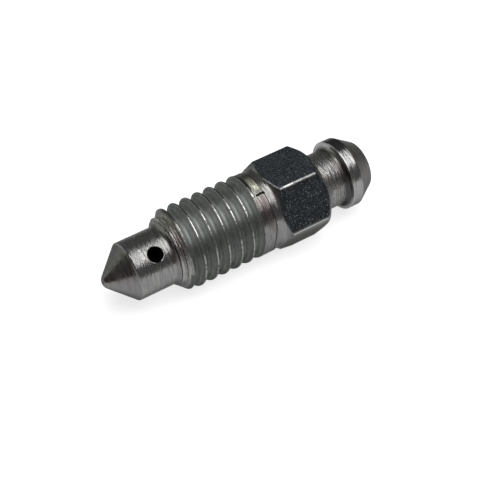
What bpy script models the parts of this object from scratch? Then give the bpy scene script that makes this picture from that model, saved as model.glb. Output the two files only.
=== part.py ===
# Bleeder screw, turned and threaded in one piece from hexagonal bar.
# World frame: the screw lies on one flat of its hexagon, with its axis along X. The point is at -X, the hose
# nipple at +X, and the origin is on the ground plane under the middle of the length.

import math

import bmesh
import bpy

MM = 0.001
NAME = "bleeder_screw"

# Sealing point and plain shank
TIP_RADIUS = 0.85 * MM
POINT_HALF_ANGLE = math.radians(44.0)
SHANK_DIAMETER = 5.5 * MM
SHANK_LENGTH = 3.6 * MM
SHOULDER_ANGLE = math.radians(45.0)
SHOULDER_FILLET = 0.5 * MM

# Outside thread, M8 x 1.25
THREAD_DIAMETER = 7.77 * MM
THREAD_PITCH = 1.25 * MM
THREAD_LENGTH = 9.0 * MM
THREAD_DEPTH = 0.65 * MM
CREST_WIDTH = 0.2 * MM
GROOVE_BITE = 0.02 * MM
FLANK_ANGLE = math.radians(30.0)
THREAD_HAND = -1
THREAD_END_ANGLE = math.radians(322.85)

# Ridge at the end of the thread, which drops by a small step and stays low for part of its turn
RIDGE_DIAMETER = 7.73 * MM
RIDGE_WIDTH = 0.77 * MM
RIDGE_LOW_DIAMETER = 7.63 * MM
RIDGE_STEP_ANGLE = math.radians(204.0)
RIDGE_LOW_ARC = math.radians(172.5)

# Plain collar and hexagon
COLLAR_DIAMETER = 7.6 * MM
COLLAR_LENGTH = 0.44 * MM
COLLAR_FILLET = 0.6 * MM
HEX_FRONT_CHAMFER = math.radians(55.0)
HEX_ACROSS_FLATS = 7.8 * MM
HEX_LENGTH = 5.33 * MM
HEX_BACK_CHAMFER = math.radians(40.0)
HEX_BACK_LAND = 0.02 * MM
HEX_EDGE_BREAK = 0.1 * MM

# Hose nipple
NECK_DIAMETER = 5.5 * MM
NECK_LENGTH = 2.9 * MM
LIP_DIAMETER = 6.78 * MM
LIP_WIDTH = 1.14 * MM
TAPER_LENGTH = 1.7 * MM
END_DIAMETER = 4.62 * MM

# Fluid passage
BORE_DIAMETER = 2.5 * MM
BORE_OVERRUN = 0.3 * MM
DRILL_POINT_HALF_ANGLE = math.radians(59.0)
CROSS_HOLE_DIAMETER = 1.45 * MM
CROSS_HOLE_SETBACK = 2.17 * MM
CROSS_HOLE_ANGLE = math.radians(214.6)

# Fineness of the round surfaces
TURN_STEPS = 48
HALF_STEP = math.pi / TURN_STEPS
HEX_SIDES = 6
TIP_STEPS = 5
FILLET_STEPS = 3
HOLE_STEPS = 24
SHARP_ANGLE = math.radians(20.0)

# How far the cutters run past what they cut
CUTTER_MARGIN = 2.0 * MM
RELIEF_MARGIN = 0.1 * MM
SPARE_TURNS = 2
WELD = 0.0001 * MM


def arc(centre_r, centre_z, radius, start, end, steps):
    """Points (r, z) on an arc, with angles measured from +r towards +z."""
    points = []
    for i in range(steps + 1):
        angle = start + (end - start) * i / steps
        points.append((centre_r + radius * math.cos(angle), centre_z + radius * math.sin(angle)))
    return points


def stations():
    """Distances from the tip, along the axis, at which one stretch ends and the next begins."""
    shank_r = SHANK_DIAMETER / 2
    ball_z = TIP_RADIUS * (1 - math.sin(POINT_HALF_ANGLE))
    ball_r = TIP_RADIUS * math.cos(POINT_HALF_ANGLE)
    z = {}
    z["point_end"] = ball_z + (shank_r - ball_r) / math.tan(POINT_HALF_ANGLE)
    z["shank_end"] = z["point_end"] + SHANK_LENGTH
    z["thread_end"] = z["shank_end"] + THREAD_LENGTH
    z["ridge_end"] = z["thread_end"] + RIDGE_WIDTH
    z["collar_end"] = z["ridge_end"] + COLLAR_LENGTH
    z["hex_end"] = z["collar_end"] + HEX_LENGTH
    z["neck_end"] = z["hex_end"] + NECK_LENGTH
    z["lip_end"] = z["neck_end"] + LIP_WIDTH
    z["end"] = z["lip_end"] + TAPER_LENGTH
    z["cross_hole"] = z["point_end"] + CROSS_HOLE_SETBACK
    return z


def hexagon_corner():
    """Distance from the axis to the hexagon's corner before its edge is broken."""
    return HEX_ACROSS_FLATS / 2 / math.cos(math.pi / HEX_SIDES)


def turned_outline(z):
    """Half section (r, z), from the bottom of the bore round the nipple end and down to the tip."""
    bore_r = BORE_DIAMETER / 2
    neck_r = NECK_DIAMETER / 2
    lip_r = LIP_DIAMETER / 2
    shank_r = SHANK_DIAMETER / 2
    collar_r = COLLAR_DIAMETER / 2
    ridge_r = RIDGE_DIAMETER / 2
    thread_r = THREAD_DIAMETER / 2
    blank_r = hexagon_corner() + HEX_EDGE_BREAK

    bore_end = z["cross_hole"] - BORE_OVERRUN
    points = [(0.0, bore_end - bore_r / math.tan(DRILL_POINT_HALF_ANGLE)), (bore_r, bore_end)]
    points += [(bore_r, z["end"]), (END_DIAMETER / 2, z["end"])]
    points += [(lip_r, z["lip_end"]), (lip_r, z["neck_end"])]
    points += [(neck_r, z["neck_end"]), (neck_r, z["hex_end"])]

    land_r = HEX_ACROSS_FLATS / 2 - HEX_BACK_LAND
    points += [(land_r, z["hex_end"])]
    points += [(blank_r, z["hex_end"] - (blank_r - land_r) / math.tan(HEX_BACK_CHAMFER))]

    fillet = arc(collar_r + COLLAR_FILLET, z["collar_end"], COLLAR_FILLET,
                 math.pi - HEX_FRONT_CHAMFER, math.pi, FILLET_STEPS)
    chamfer_foot_r, chamfer_foot_z = fillet[0]
    rise = (blank_r - chamfer_foot_r) / math.tan(HEX_FRONT_CHAMFER)
    points += [(blank_r, chamfer_foot_z + rise)] + fillet

    points += [(collar_r, z["ridge_end"]), (ridge_r, z["ridge_end"])]
    points += [(ridge_r, z["thread_end"]), (thread_r, z["thread_end"])]

    shoulder_top = z["shank_end"] + (thread_r - shank_r) / math.tan(SHOULDER_ANGLE)
    fillet_start = z["shank_end"] - SHOULDER_FILLET * math.tan(SHOULDER_ANGLE / 2)
    points += [(thread_r, shoulder_top)]
    points += arc(shank_r + SHOULDER_FILLET, fillet_start, SHOULDER_FILLET,
                  math.pi - SHOULDER_ANGLE, math.pi, FILLET_STEPS)

    points += [(shank_r, z["point_end"])]
    nose = arc(0.0, TIP_RADIUS, TIP_RADIUS, -POINT_HALF_ANGLE, -math.pi / 2, TIP_STEPS)
    points += nose[:-1] + [(0.0, 0.0)]
    return points


def collection(name):
    made = bpy.data.collections.new(name)
    bpy.context.scene.collection.children.link(made)
    return made


def new_object(name, mesh, group):
    obj = bpy.data.objects.new(name, mesh)
    group.objects.link(obj)
    return obj


def turned_body(name, outline, group):
    """Solid turned about local Z from a half section (r, z)."""
    mesh = bpy.data.meshes.new(name)
    verts = [(r, 0.0, z) for r, z in outline]
    edges = [(i, i + 1) for i in range(len(verts) - 1)]
    mesh.from_pydata(verts, edges, [])
    obj = new_object(name, mesh, group)
    screw = obj.modifiers.new("turn", "SCREW")
    screw.steps = TURN_STEPS
    screw.render_steps = TURN_STEPS
    screw.use_merge_vertices = True
    screw.merge_threshold = WELD
    return obj


def cutter_object(name, bm, group):
    mesh = bpy.data.meshes.new(name)
    bm.to_mesh(mesh)
    bm.free()
    obj = new_object(name, mesh, group)
    obj.hide_render = True
    obj.display_type = "WIRE"
    return obj


def swept_cutter(name, section, start, angle, rise, group):
    """Closed section (r, z) carried round local Z through an angle, while it rises along Z."""
    steps = round(TURN_STEPS * abs(angle) / math.tau)
    bm = bmesh.new()
    corners = [bm.verts.new((r * math.cos(start), r * math.sin(start), z)) for r, z in section]
    face = bm.faces.new(corners)
    bmesh.ops.spin(bm, geom=[face] + face.edges[:] + face.verts[:], cent=(0, 0, 0), axis=(0, 0, 1),
                   dvec=(0, 0, rise / steps), angle=angle, steps=steps, use_duplicate=False)
    bmesh.ops.holes_fill(bm, edges=[e for e in bm.edges if e.is_boundary])
    bmesh.ops.recalc_face_normals(bm, faces=bm.faces)
    return cutter_object(name, bm, group)


def cylinder_cutter(name, radius, low, high, segments, group):
    """Cylinder or prism about local Z between two heights."""
    bm = bmesh.new()
    bmesh.ops.create_cone(bm, cap_ends=True, segments=segments,
                          radius1=radius, radius2=radius, depth=high - low)
    bmesh.ops.translate(bm, verts=bm.verts, vec=(0, 0, (low + high) / 2))
    return cutter_object(name, bm, group)


def subtract(obj, other):
    modifier = obj.modifiers.new(other.name, "BOOLEAN")
    modifier.operation = "DIFFERENCE"
    modifier.object = other


def thread_groove(z, group):
    """The screw groove, ending square where it just bites into the ridge."""
    crest_r = THREAD_DIAMETER / 2
    root_r = crest_r - THREAD_DEPTH
    outer_r = crest_r + THREAD_DEPTH
    flank_r = crest_r + CREST_WIDTH / 4
    root = (THREAD_PITCH - CREST_WIDTH) / 2 - THREAD_DEPTH * math.tan(FLANK_ANGLE)
    mouth = root + (flank_r - root_r) * math.tan(FLANK_ANGLE)
    turns = math.ceil(THREAD_LENGTH / THREAD_PITCH) + 2 * SPARE_TURNS
    # The groove's middle meets the ridge at THREAD_END_ANGLE, and the sweep starts some turns above that
    turned = (THREAD_END_ANGLE - HALF_STEP) / math.tau
    middle = z["thread_end"] + THREAD_PITCH * (SPARE_TURNS - THREAD_HAND * turned)
    section = [(root_r, middle - root), (root_r, middle + root), (flank_r, middle + mouth),
               (outer_r, middle + mouth), (outer_r, middle - mouth), (flank_r, middle - mouth)]
    groove = swept_cutter("thread_groove", section, HALF_STEP, -THREAD_HAND * turns * math.tau,
                          -turns * THREAD_PITCH, group)
    stop_low = z["thread_end"] + GROOVE_BITE
    stop_high = z["thread_end"] + THREAD_PITCH * 2 * SPARE_TURNS
    stop = cylinder_cutter("groove_stop", outer_r + CUTTER_MARGIN, stop_low, stop_high, TURN_STEPS, group)
    subtract(groove, stop)
    return groove


def hexagon_surround(z, group):
    """What the bar's six flats leave outside them: a thick ring with a hexagonal hole."""
    corner_r = hexagon_corner()
    low = z["ridge_end"] + COLLAR_LENGTH / 2
    high = z["hex_end"] + NECK_LENGTH / 2
    bar = cylinder_cutter("hexagon_bar", corner_r, low - CUTTER_MARGIN, high + CUTTER_MARGIN,
                          HEX_SIDES, group)
    edge_break = bar.modifiers.new("edge_break", "BEVEL")
    edge_break.width = HEX_EDGE_BREAK
    edge_break.segments = 1
    ring = cylinder_cutter("hexagon_surround", corner_r + CUTTER_MARGIN, low, high, TURN_STEPS, group)
    subtract(ring, bar)
    return ring


def ridge_relief(z, group):
    """Part of a ring that takes the ridge down from its step."""
    low_r = RIDGE_LOW_DIAMETER / 2
    high_r = RIDGE_DIAMETER / 2 + CUTTER_MARGIN
    low = z["thread_end"] - RELIEF_MARGIN
    high = z["ridge_end"] + RELIEF_MARGIN
    section = [(low_r, low), (low_r, high), (high_r, high), (high_r, low)]
    return swept_cutter("ridge_relief", section, RIDGE_STEP_ANGLE, -RIDGE_LOW_ARC, 0.0, group)


def cross_hole(z, group):
    """Drill from the outside of the shank to the middle of the bore."""
    radius = CROSS_HOLE_DIAMETER / 2
    reach = SHANK_DIAMETER / 2 + CUTTER_MARGIN
    drill = cylinder_cutter("cross_hole", radius, 0.0, reach, HOLE_STEPS, group)
    drill.rotation_euler = (0.0, math.pi / 2, CROSS_HOLE_ANGLE)
    drill.location = (0.0, 0.0, z["cross_hole"])
    return drill


def zinc_plated_steel():
    material = bpy.data.materials.new("zinc_plated_steel")
    material.use_nodes = True
    shader = material.node_tree.nodes["Principled BSDF"]
    shader.inputs["Base Color"].default_value = (0.42, 0.43, 0.41, 1.0)
    shader.inputs["Metallic"].default_value = 1.0
    shader.inputs["Roughness"].default_value = 0.32
    return material


def finish_mesh(obj):
    """Keeps the cut shape as the object's own mesh, smooth on its round surfaces."""
    depsgraph = bpy.context.evaluated_depsgraph_get()
    mesh = bpy.data.meshes.new_from_object(obj.evaluated_get(depsgraph))
    mesh.name = obj.name
    obj.modifiers.clear()
    obj.data = mesh
    mesh.shade_smooth()
    mesh.set_sharp_from_angle(angle=SHARP_ANGLE)


def build():
    for obj in list(bpy.data.objects):
        bpy.data.objects.remove(obj, do_unlink=True)
    parts = collection(NAME)
    cutters = collection("cutters")

    z = stations()
    screw = turned_body(NAME, turned_outline(z), parts)
    for cutter in (ridge_relief(z, cutters), hexagon_surround(z, cutters),
                   cross_hole(z, cutters), thread_groove(z, cutters)):
        subtract(screw, cutter)
    finish_mesh(screw)
    screw.data.materials.append(zinc_plated_steel())

    # Local Z, from tip to nipple, becomes world X, and the lower flat rests on the ground
    for cutter in cutters.objects:
        cutter.parent = screw
    screw.rotation_euler = (0.0, math.pi / 2, 0.0)
    screw.location = (-z["end"] / 2, 0.0, HEX_ACROSS_FLATS / 2)


build()
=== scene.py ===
import math

import bpy
from mathutils import Matrix, Vector


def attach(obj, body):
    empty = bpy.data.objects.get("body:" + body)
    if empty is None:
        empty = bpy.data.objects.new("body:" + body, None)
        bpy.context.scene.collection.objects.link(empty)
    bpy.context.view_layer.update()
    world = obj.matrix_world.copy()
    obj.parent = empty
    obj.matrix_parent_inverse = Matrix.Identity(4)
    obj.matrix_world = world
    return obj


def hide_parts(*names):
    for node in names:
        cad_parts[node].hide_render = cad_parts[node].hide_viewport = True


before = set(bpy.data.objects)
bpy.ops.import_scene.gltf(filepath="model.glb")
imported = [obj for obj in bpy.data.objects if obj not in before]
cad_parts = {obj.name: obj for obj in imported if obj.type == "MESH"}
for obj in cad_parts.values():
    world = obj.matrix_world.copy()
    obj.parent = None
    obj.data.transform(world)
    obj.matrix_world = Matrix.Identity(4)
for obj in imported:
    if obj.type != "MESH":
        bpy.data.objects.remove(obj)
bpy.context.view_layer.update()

mesh = bpy.ops.mesh
mm = 0.001
axisHeight = 3.9 * mm  # the screw lies on one flat of its hexagon
tipAt = -13.677 * mm  # where the sealing point ends, along X
sweptJoin = 0.0005 * mm  # points closer than this are joined, after a sweep, after a cut and at the end
cutJoin = 0.00003 * mm
lastJoin = 0.0004 * mm
nearPoint = 0.002 * mm  # how near a point has to be to the place that is asked for
cutterStep = 2.5  # degrees from one section of a ring cutter to the next

# Lengths are in millimetres and angles in degrees from +Y towards +Z. Stations run from the tip along the
# axis. A round is the width of a rounded corner and its number of segments.
screw = {
    "turnSteps": 144, "frontAngle": 90.7,
    "tipRadius": 0.85, "tipSteps": 6, "pointHalfAngle": 44.0,
    "shankRadius": 2.75, "shankStart": 2.474, "shankEnd": 6.074,
    "shankRound": (0.08, 4), "shoulderRound": (0.21, 6), "crestEdgeRound": (0.1, 4),
    # scored rings on the shoulder's slope: how far up it, and how proud
    "rings": ((0.29, 0.0), (0.33, -0.07), (0.375, 0.0), (0.4, 0.075), (0.49, 0.02), (0.54, -0.01),
              (0.6, -0.005), (0.615, 0.04), (0.67, 0.0), (0.72, -0.01), (0.765, -0.06), (0.81, 0.03),
              (0.86, 0.0)),
    "ringsFrom": 0.27, "ringsTo": 0.88, "ringsFade": 0.04, "ringsLean": 0.7, "ringsLevelAt": 120.0,
    "ringsRise": (30.0, 70.0), "ringsFall": (330.0, 230.0),
    # the stub that the head closes over
    "threadShort": 0.03, "stub": ((0.05, 3.6), (0.4, 3.4), (0.4, 0.0)),
    "threadRadius": 3.885, "threadEnd": 15.074,
    "pitch": 1.25, "rootRadius": 3.235, "grooveMiddle": 0.45, "crestFlat": 0.04, "crestRound": 0.13,
    "rootRound": 0.17, "rootArc": (270.0, 330.0), "crestArc": (150.0, 98.0), "arcSteps": 5,
    "mouthNarrow": 0.6, "mouthLow": 0.03, "mouthHigh": 0.7,
    "grooveFrom": 234.0, "grooveTurns": 7, "grooveStart": 13,
    # the turns at which the groove is full, then shallow, then out, and how shallow it is
    "grooveFull": (0.0, 0.2), "grooveShallow": (6.47, 6.62), "grooveOut": (7.0, 6.93), "shallowShare": 0.62,
    "grooveLift": 0.68, "firstTurn": 5.5, "lastTurn": 11.5,
    "ridgeRadius": 3.865, "ridgeLowRadius": 3.815, "ridgeEnd": 15.844, "ridgeDrop": 0.03, "stepAngle": 112.3,
    "ridgeFrontRound": (0.04, 2), "ridgeBackRound": (0.03, 2),
    "collarRadius": 3.8, "collarEnd": 16.284, "collarFillet": 0.6, "filletSteps": 8, "frontChamfer": 55.0,
    "acrossFlats": 7.8, "hexEnd": 21.614, "backChamfer": 40.0, "blankPast": 0.1, "backFootIn": 0.02,
    "edgeBreak": 0.13, "edgeSteps": 3, "rimBreak": 0.075, "holeRimBreak": 0.07, "rimSteps": 2,
    # what counts as a flat, its chamfer, the hole's rim and its wall
    "flatLean": 0.02, "flatTurn": 1.0, "flatArea": 1.0, "chamferLean": 0.2, "rimNear": 0.01,
    "rimOutside": 2.0, "wallLean": 0.2, "smoothUnder": 28.0, "holdOver": 3.0, "holdShare": 4.0,
    "neckRadius": 2.75, "neckEnd": 24.514, "lipRadius": 3.39, "lipEnd": 25.654, "lipSlope": 0.06,
    "neckFrontRound": (0.12, 5), "neckBackRound": (0.34, 7), "lipFrontRound": (0.05, 3),
    "lipBackRound": (0.035, 2), "endRound": (0.1, 4),
    "endRadius": 2.31, "end": 27.354,
    "boreRadius": 1.25, "boreBottom": 4.344, "borePoint": 59.0, "boreSteps": 72,
    "mouthDepth": 0.12, "mouthGrow": 0.14, "mouthPast": 0.02, "cutterPast": 1.0,
    "holeRadius": 0.725, "holeAt": 4.644, "holeAngle": 124.6, "holeSides": 48, "drillLength": 4.5,
    # the ring that planes the flats: its start, its end, its wall, and how far its hole's bar sticks out
    "surroundFrom": 0.2, "surroundPast": 1.0, "surroundWall": 1.5, "barPast": 4.0,
    # the block that takes off one worn corner of the hexagon
    "wearAngle": 240.0, "wearTilt": 15.0, "wearStation": 17.1, "wearRadius": 4.14,
    "wearSize": (3.0, 3.0, 1.0),
    # the cut that lowers the ridge, up to its step
    "reliefPast": 0.1, "reliefOuter": 4.6, "reliefSweep": 171.3,
    # the crevice behind the last crest
    "notchFrom": 25.0, "notchPast": 2.0, "notchBehind": 0.13, "notchFloor": 3.66, "notchOuter": 0.1,
    "notchSides": (0.06, -0.05),
    # the crevices on the ridge's hexagon side: station past the ridge, section, first angle and sweep
    "ridgeCrevice": (-0.01, ((-0.06, 4.1), (-0.035, 3.68), (0.035, 3.68), (0.05, 4.1)), 111.8, 150.0),
    "upperCrevice": (0.01, ((-0.045, 4.1), (0.0, 3.7), (0.045, 4.1)), 40.0, 65.0),
    "creviceLean": 0.34, "creviceLeanSpan": (150.0, 196.0),
    # the mark across the ridge and its pit
    "markBefore": 0.06, "markShort": 0.01, "markWidth": 0.24, "markHeight": 0.6, "markRadius": 3.95,
    "markCuts": 3, "markCrooked": 0.035, "markWaves": 7.0,
    "pitRadius": 0.17, "pitSides": 20, "pitBack": 0.02, "pitTurn": 0.4,
}


def setMode(mode):
    bpy.ops.object.mode_set(mode=mode)


def settle(location=True, rotation=True):
    # the object's place goes into its mesh
    bpy.ops.object.transform_apply(location=location, rotation=rotation, scale=True)


def selectAll(action="SELECT"):
    mesh.select_all(action=action)


def deselectAll():
    if bpy.context.object and bpy.context.object.mode != "OBJECT":
        setMode("OBJECT")
    bpy.ops.object.select_all(action="DESELECT")


def pickOnly(piece):
    deselectAll()
    piece.select_set(True)
    bpy.context.view_layer.objects.active = piece


def place(station, radius, angle=90.0):
    # a point at a station, a radius and an angle from +Y towards +Z
    turn = math.radians(angle)
    return Vector((tipAt + station * mm, radius * mm * math.cos(turn),
                   axisHeight + radius * mm * math.sin(turn)))


def drawLine(name, points, angle=90.0):
    # an open outline through (station, radius) points, in the half plane at that angle
    deselectAll()
    mesh.primitive_plane_add(size=mm, location=place(*points[0], angle))
    piece = bpy.context.object
    piece.name = name
    settle()
    setMode("EDIT")
    mesh.select_mode(type="VERT")
    selectAll()
    mesh.merge(type="CENTER")
    for here, there in zip(points, points[1:]):
        step = place(*there, angle) - place(*here, angle)
        mesh.extrude_vertices_move(TRANSFORM_OT_translate={"value": step})
    setMode("OBJECT")
    return piece


def clearPicks(piece, kind="VERT"):
    pickOnly(piece)
    setMode("EDIT")
    mesh.select_mode(type=kind)
    selectAll("DESELECT")
    setMode("OBJECT")


def roundCorner(piece, station, radius, rounding, angle=90.0):
    # the vertex at that place becomes a small arc
    width, segments = rounding
    corner = place(station, radius, angle)
    clearPicks(piece)
    for vert in piece.data.vertices:
        vert.select = (vert.co - corner).length < nearPoint
    setMode("EDIT")
    mesh.bevel(offset=width * mm, segments=segments, affect="VERTICES")
    setMode("OBJECT")


def editAll(piece):
    pickOnly(piece)
    setMode("EDIT")
    mesh.select_mode(type="VERT")
    selectAll()


def closeUp(openEnds, join=sweptJoin):
    # joins doubled points, caps open ends and turns every face outwards
    mesh.remove_doubles(threshold=join)
    if openEnds:
        selectAll("DESELECT")
        mesh.select_non_manifold()
        mesh.fill_holes(sides=0)
        selectAll()
    mesh.normals_make_consistent(inside=False)
    setMode("OBJECT")


def spinClosed(piece, steps, angle=360.0):
    editAll(piece)
    # part of a turn runs against the angles, so its sign changes
    mesh.spin(steps=steps, angle=math.radians(angle if angle == 360.0 else -angle),
                      center=(0, 0, axisHeight), axis=(1, 0, 0))
    selectAll()
    closeUp(angle < 360.0)


def closeLine(piece):
    # joins the line's two ends
    clearPicks(piece)
    uses = [0] * len(piece.data.vertices)
    for edge in piece.data.edges:
        for v in edge.vertices:
            uses[v] += 1
    for i, n in enumerate(uses):
        piece.data.vertices[i].select = n == 1
    setMode("EDIT")
    mesh.edge_face_add()
    setMode("OBJECT")


def cut(piece, other, operation="DIFFERENCE"):
    pickOnly(piece)
    boolean = piece.modifiers.new(other.name, "BOOLEAN")
    boolean.operation = operation
    boolean.solver = "EXACT"
    boolean.object = other
    bpy.ops.object.modifier_apply(modifier=boolean.name)
    bpy.data.objects.remove(other, do_unlink=True)
    # the next cut needs a closed body, so doubled points are joined
    setMode("EDIT")
    selectAll()
    mesh.remove_doubles(threshold=cutJoin)
    setMode("OBJECT")


def arcPoints(middle, radius, start, end, steps):
    # (station, radius) points, with angles from +X towards the outside
    found = []
    for i in range(steps + 1):
        turn = math.radians(start + (end - start) * i / steps)
        found.append((middle[0] + radius * math.cos(turn), middle[1] + radius * math.sin(turn)))
    return found


def smooth(value, low, high):
    share = min(1.0, max(0.0, (value - low) / (high - low)))
    return share * share * (3.0 - 2.0 * share)


def angleOf(co):
    return math.degrees(math.atan2(co.z - axisHeight, co.y)) % 360.0


def stationOf(co):
    return (co.x - tipAt) / mm


def outwards(co):
    return Vector((0, co.y, co.z - axisHeight))


def wayOut(angle):
    turn = math.radians(angle)
    return Vector((0, math.cos(turn), math.sin(turn)))


def makeFrontBlank(s):
    # sealing point, shank, shoulder and the plain bar that the thread is cut into
    nose = arcPoints((s["tipRadius"], 0.0), s["tipRadius"], 180.0, 90.0 + s["pointHalfAngle"], s["tipSteps"])
    top = s["shankEnd"] + s["threadRadius"] - s["shankRadius"]  # the shoulder's slope is 45 degrees
    points = nose + [(s["shankStart"], s["shankRadius"]), (s["shankEnd"], s["shankRadius"])]
    points += [(s["shankEnd"] + along, s["shankRadius"] + along + proud) for along, proud in s["rings"]]
    points += [(top, s["threadRadius"]), (s["threadEnd"] - s["threadShort"], s["threadRadius"])]
    points += [(s["threadEnd"] + past, radius) for past, radius in s["stub"]]
    # its rows of points lie between those of the thread and the head
    blank = drawLine("screwBody", points, s["frontAngle"])
    for station, radius, rounding in ((s["shankStart"], s["shankRadius"], s["shankRound"]),
                                      (s["shankEnd"], s["shankRadius"], s["shoulderRound"]),
                                      (top, s["threadRadius"], s["crestEdgeRound"])):
        roundCorner(blank, station, radius, rounding, s["frontAngle"])
    spinClosed(blank, s["turnSteps"])
    # the rings lean like the thread
    low, high, fade = s["shankEnd"] + s["ringsFrom"], s["shankEnd"] + s["ringsTo"], s["ringsFade"]
    for vert in blank.data.vertices:
        station = stationOf(vert.co)
        if low < station < high:
            angle = angleOf(vert.co)
            lean = -s["pitch"] * (angle - s["ringsLevelAt"]) / 360.0
            lean *= smooth(angle, *s["ringsRise"]) * smooth(angle, *s["ringsFall"])
            hold = smooth(station, low, low + fade) * smooth(station, high, high - fade)
            along = Vector((1, 0, 0)) + outwards(vert.co).normalized()
            vert.co += along * lean * s["ringsLean"] * hold * mm
    return blank


def sweepHelix(piece, s, turns, iterations=1):
    # sweeps a closed section along the thread's helix
    pickOnly(piece)
    bpy.context.scene.cursor.location = (0, 0, axisHeight)
    bpy.ops.object.origin_set(type="ORIGIN_CURSOR")
    helix = piece.modifiers.new("helix", "SCREW")
    helix.axis = "X"
    helix.angle = math.tau * turns
    helix.steps = helix.render_steps = max(12, round(s["turnSteps"] * turns))
    helix.screw_offset = -s["pitch"] * turns * mm
    helix.iterations = iterations
    bpy.ops.object.modifier_apply(modifier=helix.name)
    settle()


def makeThreadCutter(s):
    # the groove's section, with a round root and round crests, swept along the helix
    halfPitch = s["pitch"] / 2
    crestHalf = s["crestFlat"] / 2
    root = arcPoints((0.0, s["rootRadius"] + s["rootRound"]), s["rootRound"], *s["rootArc"], s["arcSteps"])
    crest = arcPoints((halfPitch - crestHalf, s["threadRadius"] - s["crestRound"]), s["crestRound"],
                      *s["crestArc"], s["arcSteps"])
    mouth = halfPitch - s["mouthNarrow"] * crestHalf
    right = root + crest + [(mouth, s["threadRadius"] + above) for above in (s["mouthLow"], s["mouthHigh"])]
    left = [(-x, r) for x, r in reversed(right[1:])]
    # the groove starts at the ridge, at a hidden angle, and runs out on the shoulder
    turned = (s["grooveFrom"] - 90.0) / 360.0 + 1.0
    start = s["grooveMiddle"] + (s["grooveStart"] - turned) * s["pitch"]
    groove = drawLine("threadGroove", [(start + x, r) for x, r in right + left], s["grooveFrom"])
    closeLine(groove)
    perStep = len(right) + len(left)
    sweepHelix(groove, s, 1.0, s["grooveTurns"])
    for i, vert in enumerate(groove.data.vertices):
        turn = (i // perStep) / s["turnSteps"]
        depth = smooth(turn, *s["grooveFull"]) * (1.0 - s["shallowShare"] * smooth(turn, *s["grooveShallow"]))
        depth *= smooth(turn, *s["grooveOut"])
        vert.co += outwards(vert.co).normalized() * (1.0 - depth) * s["grooveLift"] * mm
    editAll(groove)
    closeUp(True)
    return groove


def makeCrestCrevice(s):
    # a fine notch behind the last crest, down to the step in the ridge
    fromAngle, toAngle = s["notchFrom"], s["stepAngle"] + s["notchPast"]
    middle = s["grooveMiddle"] + s["lastTurn"] * s["pitch"] - s["pitch"] * (fromAngle - 90.0) / 360.0
    middle += s["notchBehind"]
    outer = s["threadRadius"] + s["notchOuter"]
    section = [(middle, s["notchFloor"])] + [(middle + side, outer) for side in s["notchSides"]]
    notch = drawLine("crestCrevice", section, fromAngle)
    closeLine(notch)
    sweepHelix(notch, s, (toAngle - fromAngle) / 360.0)
    editAll(notch)
    closeUp(True)
    return notch


def makeHeadBlank(s):
    # ridge, collar, hexagon blank and hose nipple
    corner = s["acrossFlats"] / 2 / math.cos(math.pi / 6) + s["blankPast"]
    slope = math.radians(s["frontChamfer"])
    fillet = arcPoints((s["collarEnd"], s["collarRadius"] + s["collarFillet"]), s["collarFillet"],
                       270.0, 270.0 + s["frontChamfer"], s["filletSteps"])
    foot = fillet[-1]
    frontTop = (foot[0] + (corner - foot[1]) / math.tan(slope), corner)
    backFoot = s["acrossFlats"] / 2 - s["backFootIn"]
    backTop = (s["hexEnd"] - (corner - backFoot) / math.tan(math.radians(s["backChamfer"])), corner)
    points = [(s["threadEnd"], 0.0), (s["threadEnd"], s["ridgeRadius"]), (s["ridgeEnd"], s["ridgeRadius"]),
              (s["ridgeEnd"] + s["ridgeDrop"], s["collarRadius"])] + fillet
    lipStart = s["neckEnd"] + s["lipSlope"]
    points += [frontTop, backTop, (s["hexEnd"], backFoot), (s["hexEnd"], s["neckRadius"]),
               (s["neckEnd"], s["neckRadius"]), (lipStart, s["lipRadius"]),
               (s["lipEnd"], s["lipRadius"]), (s["end"], s["endRadius"]), (s["end"], 0.0)]
    blank = drawLine("head", points)
    for station, radius, rounding in (
            (s["threadEnd"], s["ridgeRadius"], s["ridgeFrontRound"]),
            (s["ridgeEnd"], s["ridgeRadius"], s["ridgeBackRound"]),
            (s["hexEnd"], s["neckRadius"], s["neckFrontRound"]),
            (s["neckEnd"], s["neckRadius"], s["neckBackRound"]),
            (lipStart, s["lipRadius"], s["lipFrontRound"]), (s["lipEnd"], s["lipRadius"], s["lipBackRound"]),
            (s["end"], s["endRadius"], s["endRound"])):
        roundCorner(blank, station, radius, rounding)
    spinClosed(blank, s["turnSteps"])
    return blank


def makeRod(name, sides, radius, length, **values):
    deselectAll()
    mesh.primitive_cylinder_add(vertices=sides, radius=radius * mm, depth=length * mm, **values)
    bpy.context.object.name = name
    return bpy.context.object


def makeBlock(name, sides):
    deselectAll()
    mesh.primitive_cube_add(size=1.0)
    block = bpy.context.object
    block.name = name
    block.scale = [side * mm for side in sides]
    settle(False, False)
    return block


def makeHexSurround(s):
    # a thick ring with a hexagonal hole, which planes the six flats
    corner = s["acrossFlats"] / 2 / math.cos(math.pi / 6)
    low, high = s["ridgeEnd"] + s["surroundFrom"], s["hexEnd"] + s["surroundPast"]
    lying = {"location": place((low + high) / 2, 0.0), "rotation": (0, math.pi / 2, 0)}
    ring = makeRod("hexSurround", s["turnSteps"], corner + s["surroundWall"], high - low, **lying)
    settle()
    bar = makeRod("hexBar", 6, corner, high - low + s["barPast"], **lying)
    settle()
    clearPicks(bar)
    for edge in bar.data.edges:
        a, b = (bar.data.vertices[i].co for i in edge.vertices)
        edge.select = abs(a.x - b.x) > mm  # the six long edges
    setMode("EDIT")
    mesh.select_mode(type="EDGE")
    mesh.bevel(offset=s["edgeBreak"] * mm, segments=s["edgeSteps"], affect="EDGES")
    setMode("OBJECT")
    cut(ring, bar)
    return ring


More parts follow.
